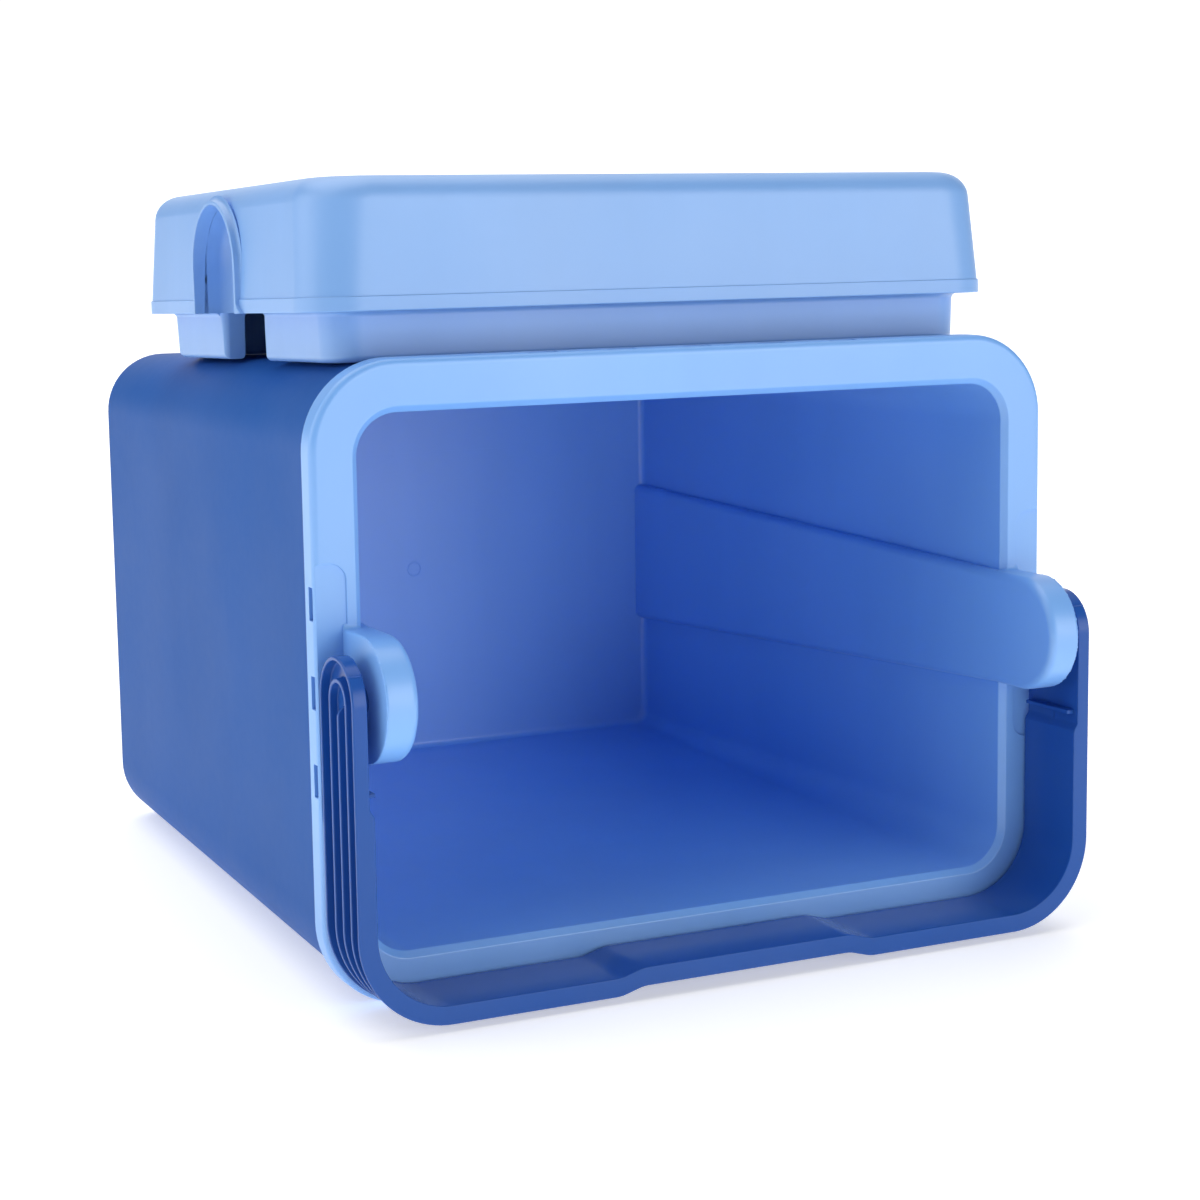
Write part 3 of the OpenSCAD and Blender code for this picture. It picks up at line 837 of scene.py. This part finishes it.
def build_cap():
    top_lean, flat_in, flat_r = 0.6, 40.0, 8.0
    side = cap_profile(LID_H - LID_EDGE)
    top = (side[0] - top_lean, side[1] - top_lean, side[2] - top_lean + CAP_R, LID_H)
    under = cap_profile(LID_H, LID_WALL)
    under = (under[0], under[1], under[2] + CAP_R, LID_H - LID_WALL)
    points = [
        (middle(under, flat_in, flat_r), 0),
        (under, LID_EDGE - LID_WALL),
        (cap_profile(0.0, LID_WALL), 0.5),
        (half(LID, 0, -LID_BAND_T), 0.7),
        (half(LID, LID_BAND_H, -LID_BAND_T), 0.35),
        (cap_profile(LID_BAND_H), 0.25),
        (top, LID_EDGE),
        (middle(top, flat_in, flat_r), 0),
    ]
    o = rect_loft(points, "lid_cap_body", 8, 16)
    boolean(o, [collar(flip) for flip in BOTH_ENDS], "UNION")
    mouth, below, crest = 0.5, -3.0, LID[0] / 2 + ARCH_LIP
    layers = [
        (LID[0] / 2 - LID_EDGE - PAST, 0.0), (crest - mouth, 0.0),
        (crest + 0.2, mouth), (CLEAR_X, mouth),
    ]
    boolean(o, [arch_solid(layers, below, "notch", flip) for flip in BOTH_ENDS], "DIFFERENCE")
    return o


def collar(matrix):
    """Raised lip round one arched notch, with a soft outer foot."""
    side, crest, thick = LID[0] / 2, LID[0] / 2 + ARCH_LIP, 2.3
    foot_from, foot_run, foot_out = side - 1.6, 1.98, 2.4
    leg_foot, spread_side, spread_crest = 5.0, 6.5, 5.0
    layers = [(side - 5.0, thick + 0.6), (side - 3.4, thick + 0.6)]
    layers += [(foot_from + foot_run * (1 - c), thick + 0.15 + foot_out * (1 - s)) for s, c in quarter(5)]
    layers += [(crest - 0.6, thick), (crest - 0.18, thick - 0.18), (crest, thick - 0.6)]
    loops = []
    for x, d in layers:
        most = spread_side if x < crest - 0.1 else spread_crest
        pts = []
        for y, z, ny, nz in arch_path(NOTCH_R, 0.0, 9):
            on_leg = abs(ny) > 0.999
            spread = most * max(0.0, 1 - z / leg_foot) ** 2 if on_leg else 0.0
            pts.append(Vector((x, y + ny * (d + spread), z + nz * d)))
        loops.append(pts)
    m = Mesh()
    m.stack(loops)
    return m.obj("collar", matrix)


def build_inner():
    wall = LID_WALL + FIT
    seat_rim = (LID[0] - 2 * wall, LID[1] - 2 * wall, LID[2] - wall)
    foot = (PLUG[0] - 2 * PLUG_LEAN, PLUG[1] - 2 * PLUG_LEAN, PLUG_R - PLUG_LEAN)
    hole = (PLUG[0] - 2 * PLUG_T, PLUG[1] - 2 * PLUG_T, PLUG_R - PLUG_T / 2)
    middle_r, groove = 4.0, 0.5
    points = [
        (middle(half(hole, LID_WALL), 20, middle_r), 0),
        (half(seat_rim, LID_WALL), 0.4),
        (half(seat_rim, 0), 0.6),
        (half(PLUG, 0), 2.6),
        (half(foot, -PLUG_H), 3.4),
        (half(hole, -PLUG_H, -groove), 2.4),
        (half(hole, 0), 3.0),
        (middle(half(hole, 0), 8, middle_r), 0),
    ]
    o = rect_loft(points, "lid_inner_body", 5, 14)
    boolean(o, [cup(flip) for flip in BOTH_ENDS], "UNION")
    boolean(o, [make(flip) for make in (pocket, plug_notch) for flip in BOTH_ENDS], "DIFFERENCE")
    return o


def cup(matrix):
    """Housing of the pocket for one lug, from behind its floor to the cap's end wall."""
    lean = LID_LEAN / (LID_H - LID_EDGE)
    floor_x, wall_x = POCKET_FLOOR - LID_WALL, LID[0] / 2 - LID_WALL - FIT
    foot = 0.3
    arch = [(y, z) for y, z, _, _ in arch_path(NOTCH_R + LID_WALL, foot)]
    m = Mesh()
    m.stack([
        [Vector((floor_x, y, z)) for y, z in arch],
        [Vector((wall_x - lean * z, y, z)) for y, z in arch],
    ])
    return m.obj("cup", matrix)


def pocket(matrix):
    """Space for one lug, with a soft corner round its floor."""
    soft = 8.0
    layers = [(POCKET_FLOOR + soft * (1 - c), -soft * (1 - s)) for s, c in quarter(7)]
    return arch_solid(layers + [(CLEAR_X, 0.0)], -PAST, "pocket", matrix)


def plug_notch(matrix):
    """Gap in the plug ring below one pocket, with soft outer corners."""
    inner, outer, soft, top = PLUG[0] / 2 - PLUG_T - 3.0, PLUG[0] / 2, 4.0, -0.02
    plan = [(inner, -NOTCH_R)]
    plan += [(outer - soft + soft * s, -NOTCH_R - soft * (1 - c)) for s, c in quarter(8)]
    plan += [(outer + 4.0, -NOTCH_R - soft)]
    plan += [(x, -y) for x, y in reversed(plan)]
    m = Mesh()
    m.loft([[Vector((x, y, z)) for x, y in plan] for z in (-PLUG_H - PAST, top)])
    return m.obj("notch", matrix)


piece(build_shell(), "tub_shell", "chest", DARK, CHEST, "outer_shell")
piece(build_liner(), "tub_liner", "chest", PALE, CHEST, "liner")
piece(build_handle(), "bail_handle", "handle", HANDLE, CHEST, "handle")
piece(build_cap(), "lid_top", "lid", LID_PALE, LID_FRAME, "lid_cap")
piece(build_inner(), "lid_underside", "lid", LID_PALE, LID_FRAME, "lid_inner")
for name, node in frame["nodes"].items():
    if "foam" in name:
        node.data.materials.clear()
        node.data.materials.append(FOAM)

# ---------------------------------------------------------------- floor, light, camera
FLOOR_HALF, FLOOR_GLOW, FLOOR_ROUGH, FLOOR_SCALE = 60.0, 0.45, 0.8, 3.0
FLOOR_LOW, FLOOR_HIGH = (0.90, 0.90, 0.90, 1), (0.93, 0.93, 0.93, 1)
SKY = 0.03
CORE = 0.35  # the part of each lobe's radius that has its full strength
# Azimuth, elevation and radius in degrees, then strength.
LOBES = {
    "backdrop": (154, 5, 45, 1.05),
    "key": (26, 8, 32, 3.1),
    "front": (-5, 10, 33, 0.08),
    "left": (-112, 10, 33, 1.7),
    "left_high": (-85, 45, 33, 1.0),
    "top": (180, 70, 44, 2.2),
}
LENS_MM, SENSOR_MM, LENS_SHIFT = 76.16, 36.0, (0.0126, -0.0133)
CAMERA_AT = (-0.59011, -1.23467, 0.40190)
CAMERA_TURN = (79.9596, -0.0843, -26.3091)


def floor():
    m = Mesh()
    ids = m.loop([(x * FLOOR_HALF, y * FLOOR_HALF, 0) for x, y in ((-1, -1), (1, -1), (1, 1), (-1, 1))])
    m.faces.append(tuple(ids))
    o = m.obj("studio_floor")
    mat, n, links, bsdf, place = new_material("studio_floor")
    t = n.new("ShaderNodeTexNoise")
    t.inputs["Scale"].default_value = FLOOR_SCALE
    links.new(place, t.inputs["Vector"])
    shade = n.new("ShaderNodeValToRGB")
    low, high = shade.color_ramp.elements
    low.color, high.color = FLOOR_LOW, FLOOR_HIGH
    links.new(t.outputs["Fac"], shade.inputs["Fac"])
    links.new(shade.outputs["Color"], bsdf.inputs["Base Color"])
    bsdf.inputs["Roughness"].default_value = FLOOR_ROUGH
    bsdf.inputs["Emission Color"].default_value = WHITE
    bsdf.inputs["Emission Strength"].default_value = FLOOR_GLOW
    o.data.materials.append(mat)


def lobe(tree, direction, last, azimuth, elevation, radius, strength):
    """Adds one soft round patch of light to the sky. Azimuth 0 is -Y and 90 is +X."""
    az, el = math.radians(azimuth), math.radians(elevation)
    out = math.cos(el)
    n, link = tree.nodes, tree.links.new
    dot = n.new("ShaderNodeVectorMath")
    dot.operation = "DOT_PRODUCT"
    dot.inputs[1].default_value = (math.sin(az) * out, -math.cos(az) * out, math.sin(el))
    link(direction, dot.inputs[0])
    soft = n.new("ShaderNodeMapRange")
    soft.interpolation_type = "SMOOTHSTEP"
    soft.inputs["From Min"].default_value = math.cos(math.radians(radius))
    soft.inputs["From Max"].default_value = math.cos(math.radians(radius * CORE))
    soft.inputs["To Max"].default_value = strength
    link(dot.outputs["Value"], soft.inputs["Value"])
    total = n.new("ShaderNodeMath")
    link(last, total.inputs[0])
    link(soft.outputs["Result"], total.inputs[1])
    return total.outputs["Value"]


def studio():
    """A dim sky with the soft lobes added to it."""
    world = bpy.data.worlds.new("studio")
    world.use_nodes = True
    tree = world.node_tree
    direction = tree.nodes.new("ShaderNodeTexCoord").outputs["Generated"]
    glow = tree.nodes.new("ShaderNodeValue").outputs["Value"]
    glow.default_value = SKY
    for patch in LOBES.values():
        glow = lobe(tree, direction, glow, *patch)
    backdrop = tree.nodes["Background"]
    backdrop.inputs["Color"].default_value = WHITE
    tree.links.new(glow, backdrop.inputs["Strength"])
    return world


floor()
scene = bpy.context.scene
scene.world = studio()
scene.view_settings.view_transform = "Standard"

lens = bpy.data.cameras.new("camera")
lens.lens, lens.sensor_width = LENS_MM, SENSOR_MM
lens.shift_x, lens.shift_y = LENS_SHIFT
camera = bpy.data.objects.new("camera", lens)
camera.location = CAMERA_AT
camera.rotation_euler = [math.radians(a) for a in CAMERA_TURN]
scene.collection.objects.link(camera)
scene.camera = camera
